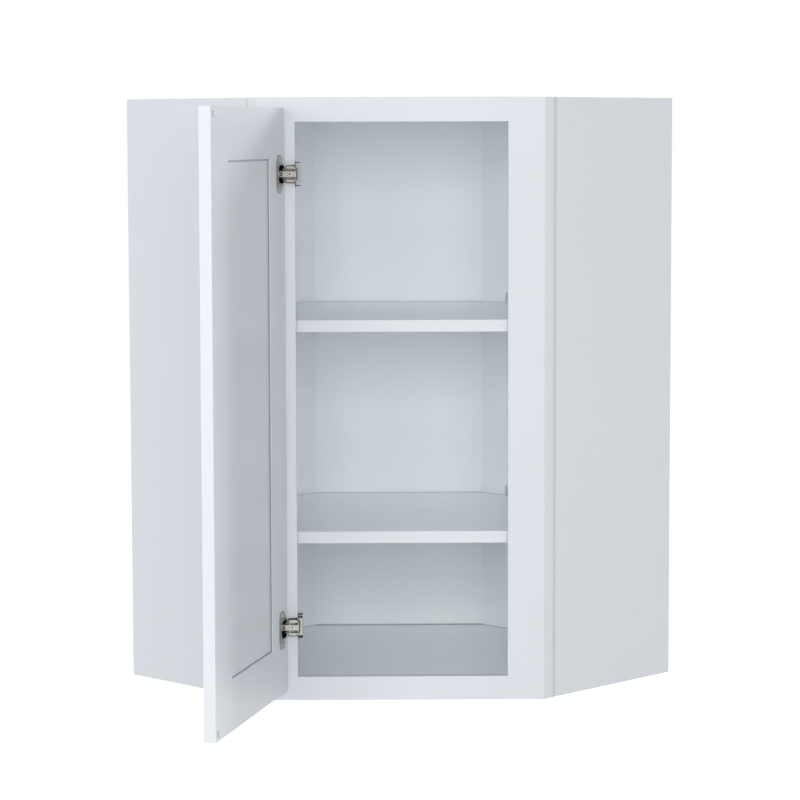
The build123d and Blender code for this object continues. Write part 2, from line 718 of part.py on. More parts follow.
def build():
    stile = make_stile()
    side_panel = make_side_panel()
    back_panel = make_back_panel()
    dowels = dowel_bars(DOWEL_RADIUS, DOWEL_LENGTH, -1) + dowel_bars(DOWEL_RADIUS, DOWEL_LENGTH, 1)
    lower_floor, upper_floor = floor_levels()
    nodes = {
        "left_stile": make_left_stile(stile),
        "right_stile": flip(stile),
        "top_rail": make_rail(CASE_HEIGHT - RAIL_HEIGHT),
        "bottom_rail": make_rail(0),
        "frame_dowels": Compound(children=dowels),
        "left_side_panel": side_panel,
        "right_side_panel": flip(side_panel),
        "left_back_panel": back_panel,
        "right_back_panel": flip(back_panel),
        "centre_back_panel": make_centre_back_panel(),
        "top_panel": make_floor(upper_floor),
        "bottom_panel": make_floor(lower_floor),
        "upper_shelf": make_shelf(UPPER_SHELF_TOP),
        "lower_shelf": make_shelf(LOWER_SHELF_TOP),
        "upper_shelf_edge_band": make_edge_band(UPPER_SHELF_TOP),
        "lower_shelf_edge_band": make_edge_band(LOWER_SHELF_TOP),
        "upper_shelf_clips": make_clips(UPPER_SHELF_TOP),
        "lower_shelf_clips": make_clips(LOWER_SHELF_TOP),
        "door_hinge_stile": swing(make_hinge_stile()),
        "door_latch_stile": swing(make_door_stile(1)),
        "door_top_rail": swing(make_door_rail(DOOR_TOP - DOOR_RAIL_WIDTH, DOOR_TOP)),
        "door_bottom_rail": swing(make_door_rail(DOOR_BOTTOM, DOOR_BOTTOM)),
        "door_panel": swing(make_door_panel()),
        "door_bumpers": make_bumpers(),
    }
    nodes.update(hinge_nodes("upper", UPPER_HINGE_Z))
    nodes.update(hinge_nodes("lower", LOWER_HINGE_Z))
    return nodes


os.makedirs("parts", exist_ok=True)
for name, shape in build().items():
    export_step(shape, f"parts/{name}.step")
    print(name, round(shape.volume), "mm3")
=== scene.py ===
# %% [markdown]
# # A corner wall cabinet, dressed in paint, laminate and nickel
#
# This lesson starts from a cabinet that has already been built as solids, one per
# board, screw and hinge part. Here each of them gets the surface that it has in a
# kitchen: sprayed satin paint on the face frame and door, smooth white laminate
# inside, and nickel plating on the pressed steel hinges. The solids stay where
# they are. Only their edges are eased, and a few small parts are turned, threaded
# or domed more finely than the solids are.

# %% Load the frame
import json
import math

import bmesh
import bpy
import numpy as np
from mathutils import Matrix, Vector


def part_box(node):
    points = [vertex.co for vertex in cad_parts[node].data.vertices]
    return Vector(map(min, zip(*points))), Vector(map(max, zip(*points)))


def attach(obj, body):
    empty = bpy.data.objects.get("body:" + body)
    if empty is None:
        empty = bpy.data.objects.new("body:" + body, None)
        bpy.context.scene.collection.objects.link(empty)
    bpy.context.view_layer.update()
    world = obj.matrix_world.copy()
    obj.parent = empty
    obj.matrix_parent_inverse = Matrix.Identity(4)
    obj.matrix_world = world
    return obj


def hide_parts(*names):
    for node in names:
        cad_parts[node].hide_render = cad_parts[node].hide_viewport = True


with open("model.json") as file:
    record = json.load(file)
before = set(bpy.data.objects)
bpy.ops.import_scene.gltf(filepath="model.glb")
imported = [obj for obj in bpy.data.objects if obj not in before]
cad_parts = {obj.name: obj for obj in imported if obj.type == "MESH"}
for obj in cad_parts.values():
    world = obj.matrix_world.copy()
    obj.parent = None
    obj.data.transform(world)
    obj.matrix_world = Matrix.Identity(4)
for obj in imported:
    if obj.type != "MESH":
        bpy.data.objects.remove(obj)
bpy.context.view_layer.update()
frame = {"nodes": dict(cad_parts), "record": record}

nodes = frame["nodes"]
scene = bpy.context.scene
scene.view_settings.view_transform = "Standard"

# %% [markdown]
# ## The camera
#
# The photograph was taken from about 4.2 metres away with a long lens, a little
# above the cabinet's middle and looking slightly down. Its place and turn were
# worked out from the cabinet's straight edges. A camera in Blender looks along
# its own -Z, so its axes are written as the columns of a matrix: right, up, and
# the direction back towards the photographer.

# %% Camera
FOCAL_PIXELS = 2817.1
FRAME_PIXELS = 800
SENSOR_MM = 36.0
CAMERA_PLACE = Vector((-0.0514, -4.2363, 0.8613))
PITCH, YAW, ROLL = (math.radians(a) for a in (5.417, -0.650, -0.149))


def camera_axes(pitch, yaw, roll):
    """Right, up and back: a level camera turned by yaw, tipped down by pitch and then rolled."""
    right = Vector((math.cos(yaw), math.sin(yaw), 0))
    ahead = Vector((-math.sin(yaw) * math.cos(pitch), math.cos(yaw) * math.cos(pitch), -math.sin(pitch)))
    up = right.cross(ahead)
    tilted = right * math.cos(roll) + up * math.sin(roll)
    return tilted, tilted.cross(ahead), -ahead


camera_data = bpy.data.cameras.new("camera")
camera_data.sensor_width = SENSOR_MM
camera_data.lens = FOCAL_PIXELS / FRAME_PIXELS * SENSOR_MM
camera_data.clip_end = 50
camera = bpy.data.objects.new("camera", camera_data)
axes = camera_axes(PITCH, YAW, ROLL)
camera.matrix_world = Matrix.Translation(CAMERA_PLACE) @ Matrix(axes).transposed().to_4x4()
scene.collection.objects.link(camera)
scene.camera = camera
print("lens", round(camera_data.lens, 1), "mm")

# %% [markdown]
# ## Small helpers for node trees
#
# The world, the floor and every finish below are trees of shader nodes. These
# helpers keep the trees short: one adds a node and fills its sockets, one makes a
# group with named sockets, one places it, and a few do sums.

# %% Node helpers


def add(tree, kind, inputs=None, **settings):
    """Adds a node, sets its settings, and links or fills the named inputs."""
    node = tree.nodes.new(kind)
    for key, value in settings.items():
        setattr(node, key, value)
    for key, value in (inputs or {}).items():
        if isinstance(value, bpy.types.NodeSocket):
            tree.links.new(value, node.inputs[key])
        else:
            node.inputs[key].default_value = value
    return node


def sum_of(tree, operation, a, b=0.0, clamp=False, plus=0.5):
    """One step of arithmetic on values or sockets. plus is what MULTIPLY_ADD adds."""
    inputs = {0: a, 1: b, 2: plus}
    return add(tree, "ShaderNodeMath", inputs, operation=operation, use_clamp=clamp).outputs[0]


def total(tree, first, *others, clamp=False):
    """The values added up one after another. clamp keeps the last sum between 0 and 1."""
    for count, value in enumerate(others, 1):
        first = sum_of(tree, "ADD", first, value, clamp and count == len(others))
    return first


def times(tree, value, factor):
    """A value multiplied by a number or by another value."""
    return sum_of(tree, "MULTIPLY", value, factor)


def swing(tree, value, width):
    """A pattern from 0 to 1 made to swing about zero: (value - 0.5) times the width."""
    return times(tree, sum_of(tree, "SUBTRACT", value, 0.5), width)


def stretched(tree, vector, scale):
    """The coordinates multiplied by a scale for each axis."""
    return add(tree, "ShaderNodeVectorMath", {0: vector, 1: scale}, operation="MULTIPLY").outputs[0]


def along(tree, vector, direction):
    """How far a point lies along a direction: the dot product of the two."""
    inputs = {0: vector, 1: direction}
    return add(tree, "ShaderNodeVectorMath", inputs, operation="DOT_PRODUCT").outputs["Value"]


def noise(tree, vector, scale, detail=2.0, rough=0.5, warp=0.0):
    """A smooth pattern between 0 and 1 whose blotches are about 1/scale metres wide."""
    inputs = {"Vector": vector, "Scale": scale, "Detail": detail, "Roughness": rough, "Distortion": warp}
    return add(tree, "ShaderNodeTexNoise", inputs).outputs["Fac"]


def tinted(tree, colour, amount):
    """The colour multiplied by a value near 1."""
    return add(tree, "ShaderNodeVectorMath", {0: colour, "Scale": amount}, operation="SCALE").outputs[0]


def blend(tree, factor, first, second):
    """The first colour where the factor is 0 and the second where it is 1."""
    inputs = {"Factor": factor, 6: first, 7: second}
    return add(tree, "ShaderNodeMix", inputs, data_type="RGBA").outputs[2]


def shader_group(name, inputs, outputs):
    """A node group with sockets from (name, kind, default) rows."""
    group = bpy.data.node_groups.new(name, "ShaderNodeTree")
    for label, kind, default in inputs:
        socket = group.interface.new_socket(label, in_out="INPUT", socket_type=f"NodeSocket{kind}")
        if default is not None:
            socket.default_value = default
    for label, kind in outputs:
        group.interface.new_socket(label, in_out="OUTPUT", socket_type=f"NodeSocket{kind}")
    return group, group.nodes.new("NodeGroupInput").outputs, group.nodes.new("NodeGroupOutput").inputs


def give(group, get, **results):
    """Links results to the group's outputs of the same names."""
    for label, socket in results.items():
        group.links.new(socket, get[label])


def placed(tree, group_name, inputs):
    """Puts a group in a tree and fills its sockets."""
    return add(tree, "ShaderNodeGroup", inputs, node_tree=bpy.data.node_groups[group_name])


print("helpers ready")

# %% [markdown]
# ## A surround of plain white
#
# The cabinet hangs in a bright white studio. The world is white for the rays that
# the camera, polished metal and clear plastic send out, and a softer grey for the
# light that falls on the paint, so the background stays white without washing the
# boards out. The floor lies half a metre below the hanging cabinet and keeps its
# shadow: its own colour is lit as usual, on top of a steady glow that only the
# camera sees.

# %% World and floor
WORLD_LIGHT = 0.28
WORLD_COLOUR = (0.935, 0.975, 1.045, 1)
WHITE = (1, 1, 1, 1)
FLOOR_LEVEL, FLOOR_HALF = -0.5, 15.0
FLOOR_SEEN, FLOOR_GLOW = (0.5, 0.5, 0.5, 1), 0.9
FLOOR_LIT = (0.8, 0.8, 0.8, 1)


def seen_or_lit(tree, lit, seen):
    """The second shader for rays from the camera, a mirror or clear plastic, else the first."""
    path = add(tree, "ShaderNodeLightPath").outputs
    either = sum_of(tree, "MAXIMUM", path["Is Camera Ray"], path["Is Glossy Ray"])
    any_ray = sum_of(tree, "MAXIMUM", either, path["Is Transmission Ray"])
    inputs = {0: any_ray, 1: lit.outputs[0], 2: seen.outputs[0]}
    return add(tree, "ShaderNodeMixShader", inputs).outputs[0]


world = bpy.data.worlds.new("studio")
world.use_nodes = True
scene.world = world
tree = world.node_tree
tree.nodes.clear()
soft = add(tree, "ShaderNodeBackground", {"Color": WORLD_COLOUR, "Strength": WORLD_LIGHT})
white = add(tree, "ShaderNodeBackground", {"Color": WHITE, "Strength": 1.0})
add(tree, "ShaderNodeOutputWorld", {"Surface": seen_or_lit(tree, soft, white)})

floor_mesh = bpy.data.meshes.new("floor")
h = FLOOR_HALF
corners = [(x, y, FLOOR_LEVEL) for x, y in ((-h, -h), (h, -h), (h, h), (-h, h))]
floor_mesh.from_pydata(corners, [], [(0, 1, 2, 3)])
floor = bpy.data.objects.new("floor", floor_mesh)
scene.collection.objects.link(floor)
floor_paint = bpy.data.materials.new("pale_floor")
floor_paint.use_nodes = True
tree = floor_paint.node_tree
shader = tree.nodes["Principled BSDF"]
shader.inputs["Base Color"].default_value = FLOOR_SEEN
shader.inputs["Roughness"].default_value = 1.0
shader.inputs["Specular IOR Level"].default_value = 0.0
glow = add(tree, "ShaderNodeEmission", {"Strength": FLOOR_GLOW})
seen = add(tree, "ShaderNodeAddShader", {0: shader.outputs[0], 1: glow.outputs[0]})
lit = add(tree, "ShaderNodeBsdfDiffuse", {"Color": FLOOR_LIT})
tree.links.new(seen_or_lit(tree, lit, seen), tree.nodes["Material Output"].inputs["Surface"])
floor_mesh.materials.append(floor_paint)
print("floor at", FLOOR_LEVEL, "m")

# %% [markdown]
# ## Soft studio lamps
#
# Three panels stand side by side behind the photographer, a little above the
# cabinet, and a smaller one hangs over them. They reach deep into the open case and
# leave a soft shade under the top rail and each shelf. One on the left lifts the
# slanting left side. One far off on the right lights the open door's back. Another,
# above and behind the cabinet, draws the soft slanting shadow across that back and
# lifts its latch stile. Inside a white case light bounces many times before it
# comes out, so the limit on bounces is raised.

# %% Lamps
AIM = Vector((0, 0.1, 0.46))
BOUNCES, DIFFUSE_BOUNCES = 16, 14
LAMPS = {
    "front_panel": ((0, -4.6, 1.35), (2.0, 1.6), 74),
    "front_left_panel": ((-2.2, -4.2, 1.3), (1.6, 1.6), 51),
    "front_right_panel": ((2.2, -4.2, 1.3), (1.6, 1.6), 8),
    "left_panel": ((-3.8, -1.6, 0.9), (1.6, 2.0), 26),
    "right_panel": ((7.6, 0.3, 0.9), (1.4, 1.6), 60),
    "behind_panel": ((7.1, 4.85, 2.95), (1.5, 1.5), 312),
    "high_panel": ((0, -4.0, 2.8), (2.4, 1.2), 12),
}
TINTS = {"left_panel": (0.97, 0.99, 1.0)}

for name, (place, (width, height), watts) in LAMPS.items():
    data = bpy.data.lights.new(name, "AREA")
    data.shape = "RECTANGLE"
    data.size, data.size_y = width, height
    data.energy = watts
    data.color = TINTS.get(name, (1, 1, 1))
    lamp = bpy.data.objects.new(name, data)
    lamp.visible_glossy = False
    lamp.location = place
    lamp.rotation_euler = (AIM - Vector(place)).to_track_quat("-Z", "Y").to_euler()
    scene.collection.objects.link(lamp)
scene.cycles.max_bounces = BOUNCES
scene.cycles.diffuse_bounces = DIFFUSE_BOUNCES
print(len(LAMPS), "lamps,", sum(watts for _, _, watts in LAMPS.values()), "watts")

# %% [markdown]
# ## Sprayed paint
#
# Satin kitchen paint is sprayed in thin coats. Close up it has a faint orange
# peel, bumps about two millimetres wide and a hundredth of a millimetre high. On
# solid wood the grain still shows through as long shallow streaks. The group
# below makes all of it from noise: round noise for the peel, noise stretched a
# hundred times along Z for the grain, and slow noise for the slight change of
# tone and gloss across a board. A board whose grain lies level turns the
# coordinates before they reach the group.

# %% Group: sprayed paint
group, put, get = shader_group(
    "sprayed_paint",
    [
        ("Vector", "Vector", None), ("Colour", "Color", (0.8, 0.8, 0.8, 1)),
        ("Grain", "Float", 0.5), ("Gloss", "Float", 0.36),
    ],
    [("Colour", "Color"), ("Roughness", "Float"), ("Height", "Float")],
)
place = put["Vector"]
peel = noise(group, place, 430, 2.0)
dust = noise(group, place, 2600, 1.0)
streak = noise(group, stretched(group, place, (1.0, 1.0, 0.012)), 420, 4.0, 0.6, 0.3)
broad_streak = noise(group, stretched(group, place, (1.0, 1.0, 0.03)), 60, 2.0)
cloud = noise(group, place, 5.5, 2.0)
grain = swing(group, streak, put["Grain"])
tone = sum_of(group, "MULTIPLY_ADD", cloud, 0.022, plus=0.986)
tone = total(group, tone, times(group, grain, 0.03), swing(group, broad_streak, 0.008))
shine = swing(group, noise(group, place, 38, 3.0), 0.16)
shine = total(group, shine, times(group, grain, 0.10), put["Gloss"], clamp=True)
height = total(group, times(group, peel, 0.7), times(group, dust, 0.12), grain)
give(group, get, Colour=tinted(group, put["Colour"], tone), Roughness=shine, Height=height)
print(group.name, len(group.nodes), "nodes")

# %% [markdown]
# ## Laminate and edge band
#
# The inside of the case is faced with a hard white foil. It is smoother than the
# paint: a fine even pebble a third of a millimetre wide, with no grain. Light
# catches it along the press direction, so the gloss varies in broad bands.

# %% Group: pressed foil
group, put, get = shader_group(
    "pressed_foil",
    [("Vector", "Vector", None), ("Colour", "Color", (0.8, 0.8, 0.8, 1)), ("Gloss", "Float", 0.32)],
    [("Colour", "Color"), ("Roughness", "Float"), ("Height", "Float")],
)
place = put["Vector"]
pebble = add(group, "ShaderNodeTexVoronoi", {"Vector": place, "Scale": 2400.0}, feature="SMOOTH_F1")
pebble = pebble.outputs["Distance"]
slow = noise(group, place, 4.0, 2.0)
bands = noise(group, stretched(group, place, (1.0, 1.0, 0.08)), 26, 2.0)
tone = total(group, times(group, slow, 0.02), 0.988)
fine_shine = swing(group, noise(group, place, 90, 2.0), 0.06)
shine = total(group, swing(group, bands, 0.12), fine_shine, put["Gloss"], clamp=True)
height = total(group, pebble, times(group, noise(group, place, 300, 2.0), 0.6))
give(group, get, Colour=tinted(group, put["Colour"], tone), Roughness=shine, Height=height)
print(group.name, len(group.nodes), "nodes")

# %% [markdown]
# ## Cut board edges
#
# Where a panel is sawn across, at the top and bottom of the case, its thin
# veneers show as pale and darker lines about 1.4 millimetres apart. The group
# counts layers across the board's thickness with a wave and mixes them into the
# finish only where the surface faces up or down.

# %% Group: sawn veneers
TWO_LAYERS = 0.0029
PALE_VENEER = (0.72, 0.60, 0.44, 1), (0.80, 0.70, 0.54, 1)
DARK_VENEER = (0.50, 0.37, 0.23, 1), (0.66, 0.52, 0.36, 1)
group, put, get = shader_group(
    "sawn_veneers",
    [
        ("Across", "Float", 0.0), ("Vector", "Vector", None), ("Up", "Float", 0.0),
        ("Colour", "Color", (0.8, 0.8, 0.8, 1)), ("Roughness", "Float", 0.4),
    ],
    [("Colour", "Color"), ("Roughness", "Float")],
)
turns = times(group, put["Across"], 2 * math.pi / TWO_LAYERS)
wobble = swing(group, noise(group, put["Vector"], 120, 2.0), 1.6)
wave = sum_of(group, "SINE", total(group, turns, wobble))
layer = sum_of(group, "MULTIPLY_ADD", wave, 2.2, clamp=True, plus=0.5)
fleck = noise(group, put["Vector"], 900, 3.0)
veneer = blend(group, layer, blend(group, fleck, *PALE_VENEER), blend(group, fleck, *DARK_VENEER))
level = sum_of(group, "GREATER_THAN", sum_of(group, "ABSOLUTE", put["Up"]), 0.9)
rough = add(group, "ShaderNodeMix", {0: level, 2: put["Roughness"], 3: 0.8}).outputs[0]
give(group, get, Colour=blend(group, level, put["Colour"], veneer), Roughness=rough)
print(group.name, len(group.nodes), "nodes")

# %% [markdown]
# ## Shade along a joint
#
# Where two boards meet, less light gets in, so a fine dark line of shade runs
# along the joint, and here that shade is painted into the colour. A joint is the
# line where two planes meet. The group measures how far a point is from both
# planes, which gives its distance from the joint, and darkens the colour by a
# bell curve of that distance.

# %% Group: joint shade
group, put, get = shader_group(
    "joint_shade",
    [
        ("Vector", "Vector", None), ("Colour", "Color", (0.8, 0.8, 0.8, 1)),
        ("Normal A", "Vector", (1, 0, 0)), ("Distance A", "Float", 0.0),
        ("Normal B", "Vector", (0, 1, 0)), ("Distance B", "Float", 0.0),
        ("Width", "Float", 0.002), ("Strength", "Float", 0.2),
    ],
    [("Colour", "Color")],
)
squares = []
for plane in "AB":
    reach = along(group, put["Vector"], put[f"Normal {plane}"])
    off = sum_of(group, "SUBTRACT", reach, put[f"Distance {plane}"])
    off = sum_of(group, "DIVIDE", off, put["Width"])
    squares.append(times(group, off, off))
bell = sum_of(group, "EXPONENT", times(group, total(group, *squares), -1.0))
keep = sum_of(group, "SUBTRACT", 1.0, times(group, bell, put["Strength"]))
give(group, get, Colour=tinted(group, put["Colour"], keep))
print(group.name, len(group.nodes), "nodes")

# %% [markdown]
# ## Plated metal
#
# The hinges are pressed from sheet steel and plated with nickel: warm grey, with
# a soft sheen, fine rubbing marks from the tumbling drum and slightly duller
# patches. The group gives a colour, a roughness and a height made of stretched
# scratches and a very fine pitting.

# %% Group: plated metal
group, put, get = shader_group(
    "plated_metal",
    [("Vector", "Vector", None), ("Colour", "Color", (0.6, 0.6, 0.6, 1)), ("Gloss", "Float", 0.28)],
    [("Colour", "Color"), ("Roughness", "Float"), ("Height", "Float")],
)
place = put["Vector"]
rub = noise(group, stretched(group, place, (1.0, 0.25, 0.08)), 5200, 2.0, 0.6)
pits = noise(group, place, 6500, 2.0)
patch = noise(group, place, 240, 3.0)
tone = total(group, times(group, patch, 0.16), 0.92, swing(group, rub, 0.12))
shine = total(group, swing(group, patch, 0.28), times(group, rub, 0.1), put["Gloss"], clamp=True)
height = total(group, rub, times(group, pits, 0.5))
give(group, get, Colour=tinted(group, put["Colour"], tone), Roughness=shine, Height=height)
print(group.name, len(group.nodes), "nodes")

# %% [markdown]
# ## The finishes
#
# Each finish is one material: a group for the pattern, a Principled shader for
# the surface, and a Bump node that turns the group's height into tiny slopes. The
# height is given in metres, so that the relief is as shallow as the real one.
# The door is open here but its boards were painted closed, so their coordinates
# are turned back about the hinge pins, and the pattern follows each board.

# %% Material helper
OPEN_ANGLE = math.radians(103.5)
PIVOT = Vector((-0.184, -0.0102036, 0))
PAINT = (0.716, 0.738, 0.767, 1)
FOIL, FOIL_RELIEF = (0.927, 0.947, 0.957, 1), 0.000008
BAND, BAND_RELIEF = (0.745, 0.752, 0.782, 1), 0.000005


def finish(name, group_name, values, relief, turn=None, **shader_values):
    """A material whose colour, gloss and relief come from one of the groups."""
    material = bpy.data.materials.new(name)
    material.use_nodes = True
    tree = material.node_tree
    shader = tree.nodes["Principled BSDF"]
    place = add(tree, "ShaderNodeTexCoord").outputs["Object"]
    if turn:
        place = add(tree, "ShaderNodeMapping", {"Vector": place, "Rotation": turn}).outputs[0]
    pattern = placed(tree, group_name, {"Vector": place, **values})
    tree.links.new(pattern.outputs["Colour"], shader.inputs["Base Color"])
    tree.links.new(pattern.outputs["Roughness"], shader.inputs["Roughness"])
    bump = add(tree, "ShaderNodeBump", {"Height": pattern.outputs["Height"], "Distance": relief})
    tree.links.new(bump.outputs[0], shader.inputs["Normal"])
    for key, value in shader_values.items():
        shader.inputs[key.replace("_", " ")].default_value = value
    return material


def with_sawn_edges(material, across):
    """Adds bare veneers on the level faces. across is the board's thickness direction."""
    tree = material.node_tree
    shader = tree.nodes["Principled BSDF"]
    colour = shader.inputs["Base Color"].links[0].from_socket
    rough = shader.inputs["Roughness"].links[0].from_socket
    where = add(tree, "ShaderNodeTexCoord")
    point = where.outputs["Object"]
    up = add(tree, "ShaderNodeSeparateXYZ", {0: where.outputs["Normal"]}).outputs["Z"]
    cut = {"Across": along(tree, point, across), "Vector": point, "Up": up}
    layers = placed(tree, "sawn_veneers", {**cut, "Colour": colour, "Roughness": rough})
    tree.links.new(layers.outputs["Colour"], shader.inputs["Base Color"])
    tree.links.new(layers.outputs["Roughness"], shader.inputs["Roughness"])
    return material


def shaded_joint(material, first, second, width, strength):
    """Darkens the finish near the line where two planes meet. A plane is its normal and distance."""
    tree = material.node_tree
    shader = tree.nodes["Principled BSDF"]
    colour = shader.inputs["Base Color"].links[0].from_socket
    point = colour.node.inputs["Vector"].links[0].from_socket
    planes = dict(zip(("Normal A", "Distance A", "Normal B", "Distance B"), (*first, *second)))
    inputs = {"Vector": point, "Colour": colour, **planes, "Width": width, "Strength": strength}
    shade = placed(tree, "joint_shade", inputs)
    tree.links.new(shade.outputs["Colour"], shader.inputs["Base Color"])
    return material


def closed_plane(normal, distance):
    """A plane of the closed door, in the coordinates that DOOR_TURN gives."""
    return normal, distance - Vector(normal).dot(PIVOT - Matrix.Rotation(OPEN_ANGLE, 3, "Z") @ PIVOT)


LEVEL = (0, math.pi / 2, 0)
DOOR_TURN = (0, 0, OPEN_ANGLE)
DOOR_LEVEL = (0, math.pi / 2, OPEN_ANGLE)
D = math.sqrt(0.5)
PAINTED = {
    "frame_upright": (0.7, 0.000030, None),
    "frame_level": (0.7, 0.000030, LEVEL),
    "door_upright": (0.6, 0.000028, DOOR_TURN),
    "door_level": (0.6, 0.000028, DOOR_LEVEL),
    "door_panel": (0.15, 0.000024, DOOR_TURN),
    "left_side": (0.2, 0.000026, None),
    "right_side": (0.2, 0.000026, None),
}
finishes = {}
for name, (grain, relief, turn) in PAINTED.items():
    values = {"Colour": PAINT, "Grain": grain}
    finishes[name] = finish(f"painted_{name}", "sprayed_paint", values, relief, turn)
finishes["foil"] = finish("white_foil", "pressed_foil", {"Colour": FOIL}, FOIL_RELIEF)
band = {"Colour": BAND, "Gloss": 0.42}
finishes["band"] = finish("white_edge_band", "pressed_foil", band, BAND_RELIEF)
# Painted shade along the seam where each side panel meets the face frame, on both boards.
SEAM_X, SEAM_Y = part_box("right_stile")[1].x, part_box("top_rail")[1].y
SEAM_SHADE = 0.2
for side, across, out, width in (("left", (D, D, 0), -1, 0.0024), ("right", (D, -D, 0), 1, 0.0036)):
    seam = ((out, 0, 0), SEAM_X), ((0, 1, 0), SEAM_Y)
    with_sawn_edges(shaded_joint(finishes[f"{side}_side"], *seam, width, SEAM_SHADE), across)
    shaded_joint(finishes["frame_upright"], *seam, width, SEAM_SHADE)
BACK_INSIDE, CORNER_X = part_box("centre_back_panel")[0].y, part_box("right_back_panel")[0].x
PANEL_X, PANEL_BACK = 0.107, -0.0052
PANEL_SHADE = 0.34
# Painted shade along the line where the bottom and each shelf meet the back boards: width and strength
# for each, less on the slanting backs.
BOARD_TOP_SHADES = {
    "bottom_panel": (0.0020, 0.72),
    "lower_shelf": (0.0012, 0.38),
    "upper_shelf": (0.0012, 0.38),
}
SLANT_SHARE = 0.7
for name, across in (("left", (-D, D, 0)), ("right", (D, D, 0)), ("centre", (0, 1, 0))):
    board = finish(f"{name}_back_foil", "pressed_foil", {"Colour": FOIL}, FOIL_RELIEF)
    inside = BACK_INSIDE if name == "centre" else (BACK_INSIDE + CORNER_X) * D
    share = 1.0 if name == "centre" else SLANT_SHARE
    for shelf, (width, strength) in BOARD_TOP_SHADES.items():
        planes = (across, inside), ((0, 0, 1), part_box(shelf)[1].z)
        shaded_joint(board, *planes, width * share, strength * share)
    finishes[f"{name}_back"] = with_sawn_edges(board, across)
# Painted shade round the door's panel where it meets the stiles: a line on the panel and a darker one at
# the foot of each stile's step.
for x, width in ((-PANEL_X, 0.0080), (PANEL_X, 0.0024)):
    seam = closed_plane((1, 0, 0), x), closed_plane((0, 1, 0), PANEL_BACK)
    shaded_joint(finishes["door_panel"], *seam, width, PANEL_SHADE)
    shaded_joint(finishes["door_upright"], *seam, 0.0010, 0.60)
METAL_RELIEF = 0.000006
# Finishes for metal. The second nickel is a lighter copy of the first, and its extra brightness is a
# painted highlight on the plate, screws and pins. The near-black ones are painted shade: outlines on the
# hinge arms, screw recesses, the plate's cut edges and the inside of the cup.
METAL = {
    "nickel": ((0.46, 0.455, 0.43, 1), 0.32),
    "bright_nickel": ((0.58, 0.575, 0.55, 1), 0.26),
    "dull_edge": ((0.055, 0.057, 0.055, 1), 0.5),
    "cup_shade": ((0.035, 0.038, 0.036, 1), 0.5),
    "spring_steel": ((0.30, 0.30, 0.30, 1), 0.34),
    "cast_zinc": ((0.30, 0.298, 0.285, 1), 0.48),
    "dark_zinc": ((0.16, 0.163, 0.16, 1), 0.5),
}
for name, (colour, gloss) in METAL.items():
    values = {"Colour": colour, "Gloss": gloss}
    finishes[name] = finish(name, "plated_metal", values, METAL_RELIEF, Metallic=1.0)
print(len(finishes), "finishes")

# %% [markdown]
# ## Wood, clear plastic and soft pads
#
# Three small finishes are left. The dowels inside the face frame are beech, with
# short dark flecks along the grain. The shelf supports are moulded from clear
# plastic, and the pads that quiet the door are soft and milky. What lies behind
# them shows through, and their skin has a fine moulded roughness.

# %% Group: beech
group, put, get = shader_group(
    "beech",
    [("Vector", "Vector", None), ("Colour", "Color", (0.7, 0.5, 0.3, 1)), ("Gloss", "Float", 0.6)],
    [("Colour", "Color"), ("Roughness", "Float"), ("Height", "Float")],
)
line = noise(group, stretched(group, put["Vector"], (0.03, 1.0, 1.0)), 1500, 4.0, 0.65)
fleck = noise(group, stretched(group, put["Vector"], (0.2, 1.0, 1.0)), 2600, 1.0)
flecks = times(group, sum_of(group, "GREATER_THAN", fleck, 0.62), -0.12)
tone = total(group, times(group, line, 0.5), 0.72, flecks)
shine = total(group, times(group, line, 0.2), put["Gloss"], clamp=True)
give(group, get, Colour=tinted(group, put["Colour"], tone), Roughness=shine, Height=line)

# %% Wood and plastics
BEECH, BEECH_RELIEF = (0.72, 0.54, 0.35, 1), 0.00008
finishes["beech"] = finish("plain_beech", "beech", {"Colour": BEECH}, BEECH_RELIEF)
PLASTICS = {
    "clear": ("clear_plastic", (0.93, 0.945, 0.955, 1), 0.16, 0.000010, 1.49),
    "pad": ("soft_pad", (0.76, 0.78, 0.80, 1), 0.42, 0.000012, 1.41),
}
COVER = 0.2
for key, (name, colour, gloss, relief, ior) in PLASTICS.items():
    values = {"Colour": colour, "Gloss": gloss}
    finishes[key] = finish(name, "pressed_foil", values, relief, Alpha=COVER, IOR=ior)
print(len(finishes), "finishes in all")

# %% [markdown]
# ## Easing the boards' edges
#
# No painted edge is a knife edge: sanding takes half a millimetre off it, and
# that sliver catches the light. A copy of each board's mesh is merged into one
# skin, its flat triangles are joined, and a Bevel modifier rounds the edges that
# carry a weight. The weights are chosen with numpy: an edge must stick out, be
# long and straight, and lie where the real board is free. Edges inside a joint
# stay sharp, so two boards still meet flush. A last modifier weighs the normals by
# face area, so that the wide flat faces stay flat beside their rounded edges.

# %% Edge tools
RUNS_UP = 0.999
SAME_POINT = 2e-6
SAME_PLANE, SHARP = math.radians(0.4), math.radians(30)


